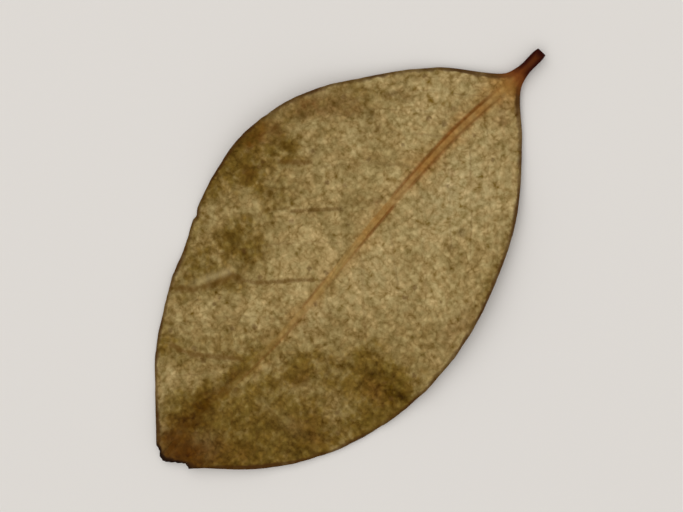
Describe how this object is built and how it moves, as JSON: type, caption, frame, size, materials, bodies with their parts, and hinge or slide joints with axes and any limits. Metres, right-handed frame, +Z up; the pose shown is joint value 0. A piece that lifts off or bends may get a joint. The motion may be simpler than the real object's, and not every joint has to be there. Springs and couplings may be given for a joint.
{
  "type": "dried bay leaf",
  "caption": "Dried bay leaf lying underside up: thin elliptic blade with a gently wavy margin, raised midrib and short stalk.",
  "frame": {"origin": "on the surface that the leaf lies on, under the middle of the leaf's box", "axes": "+X along the leaf from the stalk to the tip, +Y towards the leaf's left half seen from the stalk, +Z up out of the underside"},
  "size_m": [0.0754, 0.041, 0.0028],
  "materials": {
    "dried_leaf": "matte"
  },
  "bodies": {
    "root": {"bay_leaf": "dried_leaf"}
  },
  "joints": []
}
